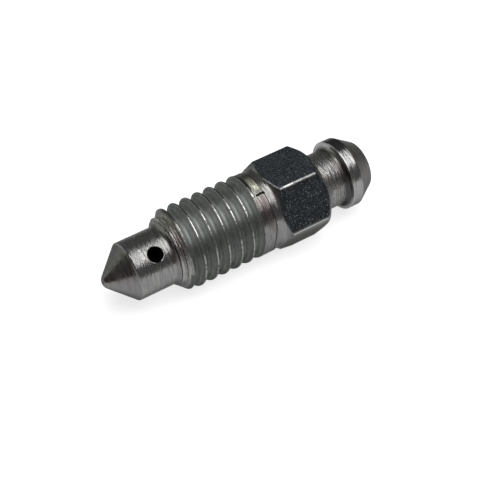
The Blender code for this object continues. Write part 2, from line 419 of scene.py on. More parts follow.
def makeCornerWear(s):
    # a tilted block that takes off the worn front end of one corner
    out = wayOut(s["wearAngle"])
    wear = makeBlock("cornerWear", s["wearSize"])
    side = Vector((1, 0, 0)).cross(out)
    facing = Matrix((Vector((1, 0, 0)), -side, out)).transposed().to_4x4()
    lean = Matrix.Rotation(math.radians(-s["wearTilt"]), 4, "Y")
    raised = Matrix.Translation((0, 0, s["wearSize"][2] / 2 * mm))
    at = Matrix.Translation(place(s["wearStation"], s["wearRadius"], s["wearAngle"]))
    wear.matrix_world = at @ facing @ lean @ raised
    settle()
    return wear


def makeRingCutter(name, section, fromAngle, sweep):
    # part of a ring with that section, from one angle round to another
    piece = drawLine(name, section, fromAngle)
    closeLine(piece)
    spinClosed(piece, round(sweep / cutterStep), sweep)
    return piece


def makeRelief(s):
    low, high = s["threadEnd"] - s["reliefPast"], s["ridgeEnd"] + s["reliefPast"]
    section = [(low, s["ridgeLowRadius"]), (high, s["ridgeLowRadius"]), (high, s["reliefOuter"]),
               (low, s["reliefOuter"])]
    return makeRingCutter("relief", section, s["stepAngle"] - s["reliefSweep"], s["reliefSweep"])


def makeCrevice(s, name):
    # a fine notch along the ridge's hexagon side, whose floor gets painted shade as a dark line
    edge, section, start, sweep = s[name]
    section = [(s["ridgeEnd"] + edge + along, radius) for along, radius in section]
    return makeRingCutter(name, section, start, sweep)


def makeRidgeCrevice(s):
    # the line below the step, which leans towards the tip further round
    line = makeCrevice(s, "ridgeCrevice")
    for vert in line.data.vertices:
        vert.co.x -= s["creviceLean"] * smooth(angleOf(vert.co), *s["creviceLeanSpan"]) * mm
    return line


def setFacing(piece, middle, out):
    # the piece's upper side points outwards from the axis
    piece.matrix_world = Matrix.Translation(middle) @ out.to_track_quat("Z", "Y").to_matrix().to_4x4()
    settle()


def makeStepNotch(s):
    # the short mark across the ridge, with a small pit at its end, whose floor gets painted shade
    out = wayOut(s["stepAngle"])
    low, high = s["threadEnd"] - s["markBefore"], s["ridgeEnd"] - s["markShort"]
    notch = makeBlock("stepNotch", (high - low, s["markWidth"], s["markHeight"]))
    setMode("EDIT")
    mesh.subdivide(number_cuts=s["markCuts"])
    setMode("OBJECT")
    # the mark is a little crooked
    for vert in notch.data.vertices:
        vert.co.y += s["markCrooked"] * mm * math.sin(vert.co.x / ((high - low) * mm) * s["markWaves"])
    setFacing(notch, place((low + high) / 2, s["markRadius"], s["stepAngle"]), out)
    pit = makeRod("pit", s["pitSides"], s["pitRadius"], s["markHeight"])
    setFacing(pit, place(high - s["pitBack"], s["markRadius"], s["stepAngle"] + s["pitTurn"]), out)
    cut(notch, pit, "UNION")
    return notch


def makeDrill(s):
    drill = makeRod("drill", s["holeSides"], s["holeRadius"], s["drillLength"])
    out = wayOut(s["holeAngle"])
    setFacing(drill, place(s["holeAt"], 0.0) + out * (s["drillLength"] / 2) * mm, out)
    return drill


def makeBoreCutter(s):
    depth = s["boreRadius"] / math.tan(math.radians(s["borePoint"]))
    mouth = s["boreRadius"] + s["mouthGrow"]
    points = [(s["boreBottom"] - depth, 0.0), (s["boreBottom"], s["boreRadius"]),
              (s["end"] - s["mouthDepth"], s["boreRadius"]), (s["end"] + s["mouthPast"], mouth),
              (s["end"] + s["cutterPast"], mouth), (s["end"] + s["cutterPast"], 0.0)]
    bore = drawLine("bore", points)
    spinClosed(bore, s["boreSteps"])
    return bore


def makeScrew(s):
    body = makeFrontBlank(s)
    cut(body, makeThreadCutter(s))
    print("thread cut:", len(body.data.polygons), "faces")
    head = makeHeadBlank(s)
    for cutter in (makeRelief(s), makeRidgeCrevice(s), makeCrevice(s, "upperCrevice"),
                   makeHexSurround(s), makeCornerWear(s)):
        cut(head, cutter)
    print("head shaped:", len(head.data.polygons), "faces")
    cut(body, head, "UNION")
    for makeCutter in (makeCrestCrevice, makeStepNotch, makeBoreCutter, makeDrill):
        cut(body, makeCutter(s))
    print("screw joined:", len(body.data.polygons), "faces")
    return body


def flatAngle(normal):
    # how far a face's normal is from that of the nearest hexagon flat, in degrees
    around = math.degrees(math.atan2(normal.z, normal.y)) % 60.0
    return abs(around - 30.0)


def edgeSides(piece):
    # the faces beside every edge
    sides = {}
    for poly in piece.data.polygons:
        for key in poly.edge_keys:
            sides.setdefault(key, []).append(poly)
    return sides


def selectEdges(piece, test):
    # picks the edges whose two faces pass the test
    clearPicks(piece, "EDGE")
    sides = edgeSides(piece)
    for edge in piece.data.edges:
        edge.select = test(edge, sides[edge.key])
        if edge.select:
            for index in edge.vertices:
                piece.data.vertices[index].select = True
    setMode("EDIT")
    mesh.select_mode(type="EDGE")
    print("edges to break:", piece.data.total_edge_sel)


def holdFaces(body, s):
    # large faces keep their own shading beside the narrow facets of a rounded edge
    sides = edgeSides(body)
    for edge in body.data.edges:
        if len(sides[edge.key]) != 2:
            continue
        one, other = sides[edge.key]
        turned = one.normal.angle(other.normal, 0.0)
        areas = one.area, other.area
        if turned > math.radians(s["holdOver"]) and max(areas) > s["holdShare"] * min(areas):
            edge.use_edge_sharp = True


def markWorn(body):
    worn = body.data.attributes["worn"].data
    for poly in body.data.polygons:
        if poly.select:
            worn[poly.index].value = 1


def breakEdges(body, s):
    # narrow bright edges: the arcs round the flats, and the rim of the cross hole
    out, middle = wayOut(s["holeAngle"]), place(s["holeAt"], 0.0)

    def isFlat(poly):
        return (s["collarEnd"] < stationOf(poly.center) < s["hexEnd"] and abs(poly.normal.x) < s["flatLean"]
                and flatAngle(poly.normal) < s["flatTurn"] and poly.area > s["flatArea"] * mm * mm)

    def onArc(edge, faces):
        flats = [isFlat(poly) for poly in faces]
        sloped = all(isFlat(poly) or abs(poly.normal.x) > s["chamferLean"] for poly in faces)
        return any(flats) and not all(flats) and sloped

    def onHoleRim(edge, faces):
        for index in edge.vertices:
            away = body.data.vertices[index].co - middle
            side = (away - away.dot(out) * out).length
            if abs(side - s["holeRadius"] * mm) > s["rimNear"] * mm or away.dot(out) < s["rimOutside"] * mm:
                return False
        walls = [abs(poly.normal.dot(out)) < s["wallLean"] for poly in faces]
        return any(walls) and not all(walls)

    rim = {"segments": s["rimSteps"], "affect": "EDGES", "clamp_overlap": False}
    selectEdges(body, onArc)
    mesh.bevel(offset=s["rimBreak"] * mm, **rim)
    setMode("OBJECT")
    body.data.attributes.new("worn", "INT", "FACE")
    markWorn(body)
    selectEdges(body, onHoleRim)
    mesh.bevel(offset=s["holeRimBreak"] * mm, **rim)
    setMode("OBJECT")
    markWorn(body)


finishPlaces = {
    # which broken edges are worn bright, with a painted highlight along the front arc from 92 to 121 degrees,
    # and which are turned
    "frontUntil": 18.0, "wornHighlightArc": (92.0, 121.0), "turnedArc": (181.0, 239.0),
    # the walls of the bore and of the cross hole, which get painted shade
    "boreSlack": 0.2, "boreFacing": 0.2, "boreFrom": 3.0, "axisNear": 0.001,
    "holeReach": 0.9, "holeFacing": 0.25, "holeInside": 2.72, "holeSlack": 0.02,
    # the hexagon's flats, and the one corner worn bright as a painted highlight
    "flatTurn": 2.0, "wornHighlightCorner": 120.0, "cornerWidth": 5.0,
    # the crevices beside the ridge and behind the last crest, whose floors get painted shade
    "ridgeBefore": 0.1, "ridgePast": 0.08, "ridgeRadius": 3.795, "ridgeArc": (58.0, 262.0),
    "threadBefore": 0.02, "threadPast": 0.03, "crestRadius": 3.86, "crestFacing": 0.85,
    "crestArc": (52.0, 130.0),
    # the lip's worn rim, worn bright only along one arc as a painted highlight
    "rimWidth": 0.13, "rimDepth": 0.06, "rimLean": (0.15, 0.98), "rimHighlightArc": (72.0, 112.0),
}


def within(value, span):
    return span[0] < value < span[1]


def faceFinish(poly, s, f):
    # which finish a face has: 0 turned, 1 rolled thread, 2 drawn flat, 3 worn edge, partly a painted
    # highlight, 4 painted shade in the bore, the cross hole and the crevices
    station, around = stationOf(poly.center), angleOf(poly.center)
    if body.data.attributes["worn"].data[poly.index].value:
        # the hole's rim and the front arc from 92 to 121 degrees get the bright worn finish, wear and a
        # painted highlight
        front = station < f["frontUntil"]
        if station < s["threadEnd"] or (front and within(around, f["wornHighlightArc"])):
            return 3
        return 0 if front and within(around, f["turnedArc"]) else 2
    out = outwards(poly.center)
    radius = out.length / mm
    facing = poly.normal.dot(out.normalized()) if radius > f["axisNear"] else 0.0
    # painted shade: the walls of the bore and of the cross hole get the near-black finish
    if radius < s["boreRadius"] + f["boreSlack"] and facing < f["boreFacing"] and station > f["boreFrom"]:
        return 4
    drill = wayOut(s["holeAngle"])
    beside = abs(station - s["holeAt"]) < f["holeReach"] and radius < f["holeInside"]
    if beside and abs(poly.normal.dot(drill)) < f["holeFacing"]:
        away = poly.center - place(s["holeAt"], 0.0)
        if (away - away.dot(drill) * drill).length < (s["holeRadius"] + f["holeSlack"]) * mm:
            return 4
    if s["collarEnd"] < station < s["hexEnd"] and abs(poly.normal.x) < s["flatLean"]:
        # painted highlight: of the flats' corners only the one round 120 degrees gets the bright worn finish
        plain = abs(around - f["wornHighlightCorner"]) > f["cornerWidth"]
        return 2 if flatAngle(poly.normal) < f["flatTurn"] or plain else 3
    # painted shade on the floors of the crevices beside the ridge
    onRidge = s["threadEnd"] - f["ridgeBefore"] < station < s["ridgeEnd"] + f["ridgePast"]
    if onRidge and radius < f["ridgeRadius"] and within(around, f["ridgeArc"]):
        return 4
    lean = s["pitch"] * (around - 90.0) / 360.0
    firstCrest = s["grooveMiddle"] + s["firstTurn"] * s["pitch"] - lean
    lastCrest = s["grooveMiddle"] + s["lastTurn"] * s["pitch"] - lean
    if firstCrest - f["threadBefore"] < station < min(lastCrest + f["threadPast"], s["threadEnd"]):
        return 1
    # painted shade on the floor of the crevice behind the last crest
    behind = lastCrest < station < s["threadEnd"] and within(around, f["crestArc"])
    if behind and radius < f["crestRadius"] and facing < f["crestFacing"]:
        return 4
    # painted highlight: the lip's rim gets the bright worn finish only from 72 to 112 degrees
    onRim = s["neckEnd"] < station < s["neckEnd"] + f["rimWidth"] and radius > s["lipRadius"] - f["rimDepth"]
    return 3 if onRim and within(-poly.normal.x, f["rimLean"]) and within(around, f["rimHighlightArc"]) else 0


body = makeScrew(screw)
editAll(body)
closeUp(False, lastJoin)
breakEdges(body, screw)
pickOnly(body)
bpy.ops.object.shade_smooth_by_angle(angle=math.radians(screw["smoothUnder"]))
holdFaces(body, screw)


def newGroup(name, inputs, outputs):
    group = bpy.data.node_groups.new(name, "ShaderNodeTree")
    for label, kind, value in inputs:
        socket = group.interface.new_socket(name=label, in_out="INPUT", socket_type="NodeSocket" + kind)
        if value is not None:
            socket.default_value = value
    for label, kind in outputs:
        group.interface.new_socket(name=label, in_out="OUTPUT", socket_type="NodeSocket" + kind)
    return group, group.nodes.new("NodeGroupInput").outputs, group.nodes.new("NodeGroupOutput").inputs


def feed(tree, socket, value):
    if isinstance(value, bpy.types.NodeSocket):
        tree.links.new(value, socket)
    else:
        socket.default_value = value


def addNode(tree, kind):
    return tree.nodes.new("ShaderNode" + kind)


def splitUp(tree, vector):
    node = addNode(tree, "SeparateXYZ")
    tree.links.new(vector, node.inputs[0])
    return node.outputs


def mathOf(tree, operation, a, b=0.0, clamp=False):
    node = addNode(tree, "Math")
    node.operation = operation
    node.use_clamp = clamp
    feed(tree, node.inputs[0], a)
    feed(tree, node.inputs[1], b)
    return node.outputs[0]


def times(tree, a, b, clamp=False):
    return mathOf(tree, "MULTIPLY", a, b, clamp)


def rangeOf(tree, value, low, high, to=(0.0, 1.0)):
    node = addNode(tree, "MapRange")
    node.interpolation_type = "SMOOTHSTEP"
    for label, number in (("Value", value), ("From Min", low), ("From Max", high), ("To Min", to[0]),
                          ("To Max", to[1])):
        feed(tree, node.inputs[label], number)
    return node.outputs["Result"]


def bandOf(tree, value, stops):
    # a mask that rises over the first two stops and falls over the last two
    return times(tree, rangeOf(tree, value, stops[0], stops[1]), rangeOf(tree, value, stops[3], stops[2]))


def noiseOf(tree, vector, scale, detail=2.0, rough=0.5):
    node = addNode(tree, "TexNoise")
    feed(tree, node.inputs["Vector"], vector)
    feed(tree, node.inputs["Scale"], scale)
    node.inputs["Detail"].default_value = detail
    node.inputs["Roughness"].default_value = rough
    return node.outputs["Fac"]


def opaque(colour, share=1.0):
    return tuple(share * part for part in colour) + (1,)


def mixOf(tree, share, a, b, blend="MIX"):
    node = addNode(tree, "Mix")
    node.data_type = "RGBA"
    node.blend_type = blend
    node.clamp_factor = True
    feed(tree, node.inputs[0], share)
    feed(tree, node.inputs[6], a)
    feed(tree, node.inputs[7], b)
    return node.outputs[2]


def rampOf(tree, value, stops, ease="LINEAR"):
    node = addNode(tree, "ValToRGB")
    node.color_ramp.interpolation = ease
    feed(tree, node.inputs["Fac"], value)
    points = node.color_ramp.elements
    points[0].position, points[-1].position = stops[0][0], stops[-1][0]
    while len(points) < len(stops):
        points.new(0.5)
    for point, (at, colour) in zip(points, stops):
        point.position = at
    for point, (at, colour) in zip(node.color_ramp.elements, stops):
        shade = colour if isinstance(colour, tuple) else (colour, colour, colour)
        point.color = (*shade, 1.0)
    return node.outputs["Color"]


def useGroup(tree, group, **values):
    node = addNode(tree, "Group")
    node.node_tree = group
    for label, value in values.items():
        feed(tree, node.inputs[label], value)
    return node.outputs


def makeAlongScrew():
    # Object coordinates become millimetres, station from the tip, radius and angle round the axis
    group, given, result = newGroup("alongScrew", [("Vector", "Vector", None)],
                                    [("Vector", "Vector"), ("Station", "Float"),
                                     ("Radius", "Float"), ("Angle", "Float")])
    mapping = addNode(group, "Mapping")
    mapping.inputs["Scale"].default_value = (1 / mm, 1 / mm, 1 / mm)
    mapping.inputs["Location"].default_value = (-tipAt / mm, 0, -axisHeight / mm)
    group.links.new(given["Vector"], mapping.inputs["Vector"])
    x, y, z = splitUp(group, mapping.outputs[0])
    squares = mathOf(group, "ADD", times(group, y, y), times(group, z, z))
    around = mathOf(group, "ARCTAN2", z, y)
    turns = mathOf(group, "FRACT", mathOf(group, "ADD", mathOf(group, "DIVIDE", around, math.tau), 1.0))
    group.links.new(mapping.outputs[0], result["Vector"])
    group.links.new(x, result["Station"])
    group.links.new(mathOf(group, "SQRT", squares), result["Radius"])
    group.links.new(turns, result["Angle"])
    return group


# a noise is its scale, its detail and its roughness
marksLook = {"coarse": (1.0, 2.0, 0.5), "fine": (2.3, 3.0, 0.6), "shares": (0.6, 0.4), "streaks": (0.42, 0.6)}


def makeTurningMarks(s):
    # fine rings left by the cutting tool, which fade in and out on their way round
    group, given, result = newGroup(
        "turningMarks",
        [("Vector", "Vector", None), ("Density", "Float", 5.0),
         ("Wander", "Float", 0.4)],
        [("Height", "Float"), ("Streaks", "Float")])
    stretch = addNode(group, "CombineXYZ")
    for i, label in enumerate(("Density", "Wander", "Wander")):
        feed(group, stretch.inputs[i], given[label])
    scaled = addNode(group, "VectorMath")
    scaled.operation = "MULTIPLY"
    feed(group, scaled.inputs[0], given["Vector"])
    feed(group, scaled.inputs[1], stretch.outputs[0])
    coarse, fine = (times(group, noiseOf(group, scaled.outputs[0], *s[name]), share)
                    for name, share in zip(("coarse", "fine"), s["shares"]))
    both = mathOf(group, "ADD", coarse, fine)
    group.links.new(both, result["Height"])
    group.links.new(rangeOf(group, both, *s["streaks"]), result["Streaks"])
    return group


# two layers of cells, each with its share of the fineness and of the brightness
specksLook = {"layers": ((1.0, 1.0), (1.9, 0.6)), "smallest": 0.35, "core": 0.35, "grain": (1.6, 2.0, 0.6)}


def makeSpecks(s):
    # scattered grains that catch the light: each cell of a fine pattern may hold one
    group, given, result = newGroup(
        "brightSpecks",
        [("Vector", "Vector", None), ("Fineness", "Float", 6.0),
         ("Amount", "Float", 0.4), ("Size", "Float", 0.4)],
        [("Mask", "Float"), ("Height", "Float")])
    masks = []
    for step, share in s["layers"]:
        cells = addNode(group, "TexVoronoi")
        feed(group, cells.inputs["Vector"], given["Vector"])
        feed(group, cells.inputs["Scale"], times(group, given["Fineness"], step))
        split = addNode(group, "SeparateColor")
        group.links.new(cells.outputs["Color"], split.inputs[0])
        # only some cells have a grain, and these differ in size and brightness
        chosen = rangeOf(group, split.outputs[0], mathOf(group, "SUBTRACT", 1.0, given["Amount"]), 1.0)
        size = times(group, given["Size"], mathOf(group, "ADD", split.outputs[1], s["smallest"]))
        dot = rangeOf(group, cells.outputs["Distance"], size, times(group, size, s["core"]))
        masks.append(times(group, times(group, dot, chosen), share))
    fineness, detail, rough = s["grain"]
    grain = noiseOf(group, given["Vector"], times(group, given["Fineness"], fineness), detail, rough)
    group.links.new(mathOf(group, "MAXIMUM", masks[0], masks[1]), result["Mask"])
    group.links.new(grain, result["Height"])
    return group


# the film's colours, by the angle round the screw in turns
tintLook = {
    "drift": (0.7, 2.0, 0.5), "driftShare": 0.06,
    "stops": [(0.0, (1.0, 1.0, 1.0)), (0.17, (0.97, 1.0, 0.95)), (0.26, (1.0, 1.0, 0.84)),
              (0.305, (1.0, 0.98, 0.9)), (0.335, (0.82, 0.69, 0.67)), (0.39, (0.78, 0.62, 0.62)),
              (0.43, (0.96, 0.9, 0.87)), (0.47, (1.0, 0.97, 0.98)), (0.6, (0.98, 0.98, 1.0)),
              (0.7, (1.0, 1.0, 0.86)), (0.78, (1.0, 0.85, 0.84)), (0.88, (0.98, 1.0, 0.97)),
              (1.0, (1.0, 1.0, 1.0))],
}


def makeFilmTint(s):
    # the zinc's thin film: yellow green, brown and mauve patches round the screw
    group, given, result = newGroup(
        "filmTint",
        [("Vector", "Vector", None), ("Angle", "Float", 0.0),
         ("Amount", "Float", 0.5), ("Color", "Color", (0.2, 0.2, 0.2, 1))],
        [("Color", "Color")])
    drift = mathOf(group, "SUBTRACT", noiseOf(group, given["Vector"], *s["drift"]), 0.5)
    turned = mathOf(group, "ADD", given["Angle"], times(group, drift, s["driftShare"]))
    tint = rampOf(group, turned, s["stops"], "EASE")
    faded = mixOf(group, given["Amount"], (1, 1, 1, 1), tint)
    group.links.new(mixOf(group, 1.0, given["Color"], faded, "MULTIPLY"), result["Color"])
    return group


alongScrew = makeAlongScrew()
turningMarks = makeTurningMarks(marksLook)
brightSpecks = makeSpecks(specksLook)
filmTint = makeFilmTint(tintLook)


def newMaterial(name, edgeTint=None):
    material = bpy.data.materials.new(name)
    material.use_nodes = True
    tree = material.node_tree
    shader = tree.nodes["Principled BSDF"]
    shader.inputs["Metallic"].default_value = 1.0
    if edgeTint:
        shader.inputs["Specular Tint"].default_value = (edgeTint,) * 3 + (1,)
    coordinates = addNode(tree, "TexCoord")
    where = useGroup(tree, alongScrew, Vector=coordinates.outputs["Object"])
    return material, tree, shader, where


def dress(tree, shader, base, roughness, height, depth):
    feed(tree, shader.inputs["Base Color"], base)
    feed(tree, shader.inputs["Roughness"], roughness)
    bump = addNode(tree, "Bump")
    bump.inputs["Strength"].default_value = 1.0
    bump.inputs["Distance"].default_value = depth * mm
    feed(tree, bump.inputs["Height"], height)
    tree.links.new(bump.outputs["Normal"], shader.inputs["Normal"])


turnedFinish = {
    # station, grey of the steel, strength of the turning marks, share of the film's tint, roughness
    "stops": [(0.0, 0.165, 0.05, 0.8, 0.26), (2.38, 0.165, 0.06, 0.9, 0.25), (2.42, 0.25, 0.2, 0.2, 0.2),
              (2.5, 0.24, 1.2, 0.1, 0.2), (5.6, 0.24, 1.0, 0.25, 0.2), (6.2, 0.2, 0.5, 1.0, 0.26),
              (6.36, 0.26, 1.7, 1.0, 0.26), (7.1, 0.26, 1.7, 1.0, 0.26), (7.25, 0.2, 0.6, 1.0, 0.28),
              (15.0, 0.2, 0.8, 1.0, 0.26), (15.8, 0.2, 0.8, 1.0, 0.26), (15.9, 0.25, 0.5, 0.35, 0.22),
              (16.6, 0.23, 0.4, 0.5, 0.26), (17.0, 0.13, 0.3, 1.0, 0.28), (20.8, 0.13, 0.3, 0.5, 0.28),
              (21.7, 0.23, 2.5, 0.3, 0.29), (23.4, 0.23, 1.9, 0.4, 0.3), (24.1, 0.2, 0.8, 1.0, 0.34),
              (24.54, 0.22, 0.5, 1.0, 0.36), (24.56, 0.5, 0.4, 0.1, 0.2), (24.63, 0.31, 0.6, 0.1, 0.16),
              (25.6, 0.31, 0.6, 0.1, 0.16), (25.66, 0.22, 0.15, 0.4, 0.34), (27.35, 0.22, 0.15, 0.4, 0.34)],
    "density": 4.6, "wander": 0.5, "markDepth": 0.1, "streakShare": 0.28, "streak": (0.42, 0.42, 0.4),
    "fineness": 5.0, "amount": 0.4, "grainDepth": 0.08, "uneven": 0.24,
    # painted shade and painted light: the lip darker from about 50 to 108 degrees, its face towards the neck
    # darker from about 108 to 252, and the cone lighter from about 140 to 238; four stops of the angle, four
    # of the station, and how light it is inside
    "paintedShadeBoxes": [((0.14, 0.18, 0.265, 0.3, 24.55, 24.6, 25.6, 25.7), 0.42),
               ((0.3, 0.36, 0.66, 0.7, 24.0, 24.3, 24.53, 24.56), 0.35),
               ((0.39, 0.43, 0.6, 0.66, -1.0, -0.9, 2.38, 2.42), 1.3)],
    # where the shoulder takes the thread's tone
    "threadMeets": (0.38, 0.46, 0.7, 0.8, 6.85, 7.2, 9.0, 9.1), "threadTone": (0.19, 0.203, 0.19),
    # a painted highlight on the ridge, above its step
    "paintedHighlightBox": (0.2, 0.25, 0.27, 0.298, 15.1, 15.25, 15.7, 15.86),
    "paintedHighlightColour": (0.95, 0.95, 0.78), "edgeTint": 0.4,
}


def boxOf(tree, where, box):
    # a mask from four stops of the angle and four of the station
    mask = bandOf(tree, where["Angle"], box[:4])
    for low, high in ((box[4], box[5]), (box[7], box[6])):
        mask = times(tree, mask, rangeOf(tree, where["Station"], low, high))
    return mask


def makeTurnedZinc(s):
    material, tree, shader, where = newMaterial("turnedZinc", s["edgeTint"])
    length = screw["end"]
    share = mathOf(tree, "DIVIDE", where["Station"], length)
    grey, deep, film, smoothness = (
        rampOf(tree, share, [(stop[0] / length, stop[i]) for stop in s["stops"]]) for i in (1, 2, 3, 4))
    marks = useGroup(tree, turningMarks, Vector=where["Vector"], Density=s["density"], Wander=s["wander"])
    grains = useGroup(tree, brightSpecks, Vector=where["Vector"], Fineness=s["fineness"], Amount=s["amount"])
    tinted = useGroup(tree, filmTint, Vector=where["Vector"], Angle=where["Angle"], Amount=film, Color=grey)
    streaked = times(tree, marks["Streaks"], times(tree, deep, s["streakShare"]), clamp=True)
    base = mixOf(tree, streaked, tinted["Color"], opaque(s["streak"]))
    # painted shade and painted light, multiplied into the colour
    for box, shade in s["paintedShadeBoxes"]:
        base = mixOf(tree, boxOf(tree, where, box), base, (shade, shade, shade, 1), "MULTIPLY")
    base = mixOf(tree, boxOf(tree, where, s["threadMeets"]), base, opaque(s["threadTone"]))
    # painted highlight: the ridge lighter above its step, from about 72 to 107 degrees
    base = mixOf(tree, boxOf(tree, where, s["paintedHighlightBox"]), base, opaque(s["paintedHighlightColour"]))
    uneven = times(tree, mathOf(tree, "SUBTRACT", 0.5, marks["Streaks"]), s["uneven"])
    rough = mathOf(tree, "ADD", smoothness, uneven)
    height = mathOf(tree, "ADD", marks["Height"], times(tree, grains["Height"], s["grainDepth"]))
    dress(tree, shader, base, rough, times(tree, height, deep), s["markDepth"])
    return material


threadFinish = {
    "flank": (0.34, 0.362, 0.342), "crest": (0.5, 0.5, 0.48), "flankDark": 0.62,
    "grain": 0.65, "grainTurn": 0.25, "lines": 7.0, "lineWander": 0.35, "lineDepth": 0.8,
    "wavy": (2.4, 3.0, 0.6), "wavySpan": (0.36, 0.52), "clouds": (1.1, 3.0, 0.55), "cloudSpan": (0.35, 0.65),
    "cloudShare": 0.4, "lineShare": 0.6, "fine": (9.0, 3.0, 0.6), "fineDepth": 0.25, "depth": 0.03,
    # painted shade: the thread darker from about 100 to 250 degrees round the screw, most from 139 to 216
    "shares": [(0.0, 1.0), (0.24, 1.0), (0.27, 1.0), (0.32, 0.85), (0.36, 0.8), (0.385, 0.62), (0.6, 0.6),
               (0.7, 1.0)],
    # painted light and shade across one turn, from crest to crest, above and below the highlight: a dark line
    # behind each crest and lighter flanks
    "above": [(0.0, 1.05), (0.07, 0.9), (0.12, 0.38), (0.19, 0.32), (0.25, 0.7), (0.31, 1.4), (0.38, 1.6),
              (0.5, 1.6), (0.62, 1.25), (0.75, 1.15), (1.0, 1.05)],
    "below": [(0.0, 1.1), (0.06, 1.0), (0.2, 1.1), (0.27, 0.8), (0.34, 0.85), (0.4, 1.15), (0.5, 1.2),
              (0.62, 1.4), (0.9, 1.4), (0.97, 1.15), (1.0, 1.1)],
    "belowBand": (0.26, 0.275, 0.85, 1.0),
    "flankRoughness": 0.66, "crestRoughness": 0.24, "crestSpan": (3.857, 3.88), "edgeTint": 0.3,
}


def makeRolledThread(s):
    material, tree, shader, where = newMaterial("rolledThread", s["edgeTint"])
    crest = rangeOf(tree, where["Radius"], *s["crestSpan"])
    wavy = noiseOf(tree, where["Vector"], *s["wavy"])
    broken = times(tree, crest, rangeOf(tree, wavy, *s["wavySpan"]), clamp=True)
    clouds = noiseOf(tree, where["Vector"], *s["clouds"])
    # drawn-out lines that follow the groove, because they are laid by radius
    laid = addNode(tree, "CombineXYZ")
    for i, value in enumerate((where["Radius"], *splitUp(tree, where["Vector"])[1:])):
        tree.links.new(value, laid.inputs[i])
    lines = useGroup(tree, turningMarks, Vector=laid.outputs[0], Density=s["lines"], Wander=s["lineWander"])
    shading = times(tree, rangeOf(tree, clouds, *s["cloudSpan"]), s["cloudShare"])
    shading = mathOf(tree, "ADD", shading, times(tree, lines["Streaks"], s["lineShare"]))
    flank = mixOf(tree, shading, opaque(s["flank"]), opaque(s["flank"], s["flankDark"]))
    tone = mixOf(tree, broken, flank, opaque(s["crest"]))
    # painted shade: the thread darker round one side of the screw
    around = rampOf(tree, where["Angle"], s["shares"])
    turn = mathOf(tree, "ADD", mathOf(tree, "DIVIDE", where["Station"], screw["pitch"]), where["Angle"])
    turn = mathOf(tree, "FRACT", turn)
    lower = bandOf(tree, where["Angle"], s["belowBand"])
    # painted light and shade across each turn: a dark line behind each crest and lighter flanks
    across = mixOf(tree, lower, rampOf(tree, turn, s["above"]), rampOf(tree, turn, s["below"]))
    tone = mixOf(tree, 1.0, tone, across, "MULTIPLY")
    tone = mixOf(tree, 1.0, tone, around, "MULTIPLY")
    smoother = times(tree, broken, s["flankRoughness"] - s["crestRoughness"])
    rough = mathOf(tree, "SUBTRACT", s["flankRoughness"], smoother)
    along = addNode(tree, "Tangent")
    along.direction_type, along.axis = "RADIAL", "X"
    tree.links.new(along.outputs[0], shader.inputs["Tangent"])
    shader.inputs["Anisotropic"].default_value = s["grain"]
    shader.inputs["Anisotropic Rotation"].default_value = s["grainTurn"]
    fine = noiseOf(tree, where["Vector"], *s["fine"])
    height = mathOf(tree, "ADD", times(tree, fine, s["fineDepth"]), times(tree, wavy, crest))
    height = mathOf(tree, "ADD", height, times(tree, lines["Height"], s["lineDepth"]))
    dress(tree, shader, tone, rough, height, s["depth"])
    return material


flatFinish = {
    "dark": (0.055, 0.063, 0.07), "light": (0.6, 0.66, 0.72), "lower": (0.2, 0.2, 0.192),
    "fineness": 7.0, "amount": 0.55, "size": 0.45, "roughness": 0.3, "edgeTint": 0.3, "depth": 0.012,
    "clouds": (0.8, 2.0, 0.5), "cloudSpan": (0.35, 0.65), "cloudDark": 0.75,
    "mottle": ((0.45, 0.45, 0.5), (2.3, 2.3, 2.2)), "mottleSpan": (0.36, 0.64),
    # the upper flat made lighter, and a painted reflection on the lowest flat that is in view, which fades
    # from bright to plain
    "topBand": (0.16, 0.17, 0.325, 0.335), "topShare": 1.5,
    "lowerBand": (0.49, 0.5, 0.66, 0.69), "paintedReflectionShare": 2.2, "paintedReflectionFade": (0.5, 0.58),
}


def makeDrawnFlat(s):
    material, tree, shader, where = newMaterial("drawnFlat", s["edgeTint"])
    specks = useGroup(tree, brightSpecks, Vector=where["Vector"], Fineness=s["fineness"], Amount=s["amount"],
                      Size=s["size"])
    clouds = rangeOf(tree, noiseOf(tree, where["Vector"], *s["clouds"]), *s["cloudSpan"])
    dark = mixOf(tree, clouds, opaque(s["dark"]), opaque(s["dark"], s["cloudDark"]))
    dark = mixOf(tree, bandOf(tree, where["Angle"], s["topBand"]), dark, opaque(s["dark"], s["topShare"]))
    mottle = mixOf(tree, rangeOf(tree, specks["Height"], *s["mottleSpan"]), *(opaque(c) for c in s["mottle"]))
    fine = mixOf(tree, 1.0, dark, mottle, "MULTIPLY")
    speckled = mixOf(tree, specks["Mask"], fine, opaque(s["light"]))
    # painted reflection: the lowest flat in view lighter, brightest at its edge near 180 degrees
    fade = rangeOf(tree, where["Angle"], *s["paintedReflectionFade"])
    shade = mixOf(tree, fade, opaque(s["lower"], s["paintedReflectionShare"]), opaque(s["lower"]))
    base = mixOf(tree, bandOf(tree, where["Angle"], s["lowerBand"]), speckled, shade)
    dress(tree, shader, base, s["roughness"], specks["Height"], s["depth"])
    return material


wornAndHighlightFinish = {
    "tones": ((0.9, 0.9, 0.88), (0.45, 0.45, 0.44)), "dull": (0.3, 0.3, 0.3), "fineness": 4.0, "amount": 0.6,
    "patches": (1.3, 3.0, 0.6), "dullSpan": (0.62, 0.4), "edgeTint": 0.4, "roughness": 0.44, "depth": 0.03,
}


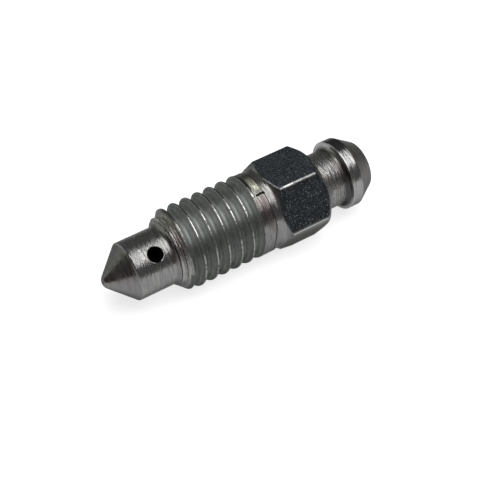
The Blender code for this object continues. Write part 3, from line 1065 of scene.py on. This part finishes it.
def makeWornEdgeAndHighlight(s):
    # bright worn edges, which are also a painted highlight where they are given by angle
    material, tree, shader, where = newMaterial("wornEdgeAndHighlight", s["edgeTint"])
    specks = useGroup(tree, brightSpecks, Vector=where["Vector"], Fineness=s["fineness"], Amount=s["amount"])
    tone = mixOf(tree, specks["Height"], *(opaque(c) for c in s["tones"]))
    dull = rangeOf(tree, noiseOf(tree, where["Vector"], *s["patches"]), *s["dullSpan"])
    tone = mixOf(tree, dull, tone, opaque(s["dull"]))
    dress(tree, shader, tone, s["roughness"], specks["Height"], s["depth"])
    return material


deepShadeFinish = {
    "tones": ((0.012, 0.012, 0.012), (0.05, 0.048, 0.045)), "shadeVariation": (3.0, 3.0, 0.6), "roughness": 0.55,
    "depth": 0.02,
}


def makePaintedDeepShade(s):
    # painted shade: a near-black finish for the bore, the cross hole and the crevices' floors
    material, tree, shader, where = newMaterial("paintedDeepShade")
    shadeVariation = noiseOf(tree, where["Vector"], *s["shadeVariation"])
    tone = mixOf(tree, shadeVariation, *(opaque(c) for c in s["tones"]))
    dress(tree, shader, tone, s["roughness"], shadeVariation, s["depth"])
    return material


body.data.materials.clear()
for material in (makeTurnedZinc(turnedFinish), makeRolledThread(threadFinish), makeDrawnFlat(flatFinish),
                 makeWornEdgeAndHighlight(wornAndHighlightFinish), makePaintedDeepShade(deepShadeFinish)):
    body.data.materials.append(material)
for poly in body.data.polygons:
    poly.material_index = faceFinish(poly, screw, finishPlaces)
body.data.attributes.remove(body.data.attributes["worn"])
print("finishes given:", [sum(p.material_index == i for p in body.data.polygons) for i in range(5)])

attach(body, "root")
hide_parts("bleeder_screw")


studio = {
    # how bright the floor looks in the picture and in reflections, and how much less behind the screw, a
    # painted glow that only reflections see
    "floorSize": 3.0, "floorGrey": 0.6, "floorSeen": 0.72, "floorMirrored": 0.42, "reflectedGlowBehindShare": 0.3,
    "behind": (0.018, 0.05), "world": 0.15,
    # direction, distance, size and radiance
    "lamps": {"softLamp": ((0.12, -0.22, 0.97), 0.25, (0.24, 0.25), 2.9),
              "backLamp": ((-0.54, 0.77, 0.25), 0.3, (0.26, 0.17), 0.5)},
    # the camera's place, and where its right, its lower side and its view point
    "cameraAt": (-0.040198, -0.067675, 0.079893), "right": (0.84117, -0.53993, -0.03017),
    "down": (-0.39938, -0.58264, -0.70783), "ahead": (0.3646, 0.60746, -0.70573),
    "lens": 90.457, "sensor": 36.0, "clipStart": 0.005,
}


def makeFloor(s):
    deselectAll()
    mesh.primitive_plane_add(size=s["floorSize"], location=(0, 0, 0))
    floor = bpy.context.object
    floor.name = "floor"
    material = bpy.data.materials.new("paleFloor")
    material.use_nodes = True
    tree = material.node_tree
    tree.nodes.clear()
    out = addNode(tree, "OutputMaterial")
    diffuse = addNode(tree, "BsdfDiffuse")
    diffuse.inputs["Color"].default_value = (s["floorGrey"],) * 3 + (1,)
    glow = addNode(tree, "Emission")
    path = addNode(tree, "LightPath")
    coordinates = addNode(tree, "TexCoord")
    bright = s["floorMirrored"]
    y = splitUp(tree, coordinates.outputs["Object"])[1]
    # painted light: the floor glows for reflections, less behind the screw
    paintedReflectedGlow = rangeOf(tree, y, *s["behind"], to=(bright, bright * s["reflectedGlowBehindShare"]))
    mirrored = mathOf(tree, "ADD", path.outputs["Is Glossy Ray"], path.outputs["Is Transmission Ray"], True)
    seen = times(tree, path.outputs["Is Camera Ray"], s["floorSeen"])
    tree.links.new(mathOf(tree, "ADD", seen, times(tree, mirrored, paintedReflectedGlow)), glow.inputs["Strength"])
    both = addNode(tree, "AddShader")
    tree.links.new(diffuse.outputs[0], both.inputs[0])
    tree.links.new(glow.outputs[0], both.inputs[1])
    tree.links.new(both.outputs[0], out.inputs["Surface"])
    floor.data.materials.append(material)


def areaLamp(name, direction, distance, size, radiance):
    deselectAll()
    way = Vector(direction).normalized()
    bpy.ops.object.light_add(type="AREA", location=way * distance)
    lamp = bpy.context.object
    lamp.name = name
    lamp.rotation_euler = way.to_track_quat("Z", "Y").to_euler()
    lamp.data.shape = "RECTANGLE"
    lamp.data.size, lamp.data.size_y = size
    lamp.data.energy = radiance * math.pi * size[0] * size[1]


def placeCamera(s):
    camera = bpy.data.objects.new("camera", bpy.data.cameras.new("camera"))
    bpy.context.scene.collection.objects.link(camera)
    right, down, ahead = (Vector(s[name]) for name in ("right", "down", "ahead"))
    turn = Matrix((right, -down, -ahead)).transposed().to_4x4()
    camera.matrix_world = Matrix.Translation(s["cameraAt"]) @ turn
    camera.data.lens = s["lens"]
    camera.data.sensor_width = s["sensor"]
    camera.data.clip_start = s["clipStart"]
    bpy.context.scene.camera = camera


makeFloor(studio)
for name, values in studio["lamps"].items():
    areaLamp(name, *values)
world = bpy.data.worlds.new("darkStudio")
bpy.context.scene.world = world
world.use_nodes = True
world.node_tree.nodes["Background"].inputs["Color"].default_value = (studio["world"],) * 3 + (1,)
placeCamera(studio)
bpy.context.scene.view_settings.view_transform = "Standard"
print("studio set")

bpy.context.view_layer.update()
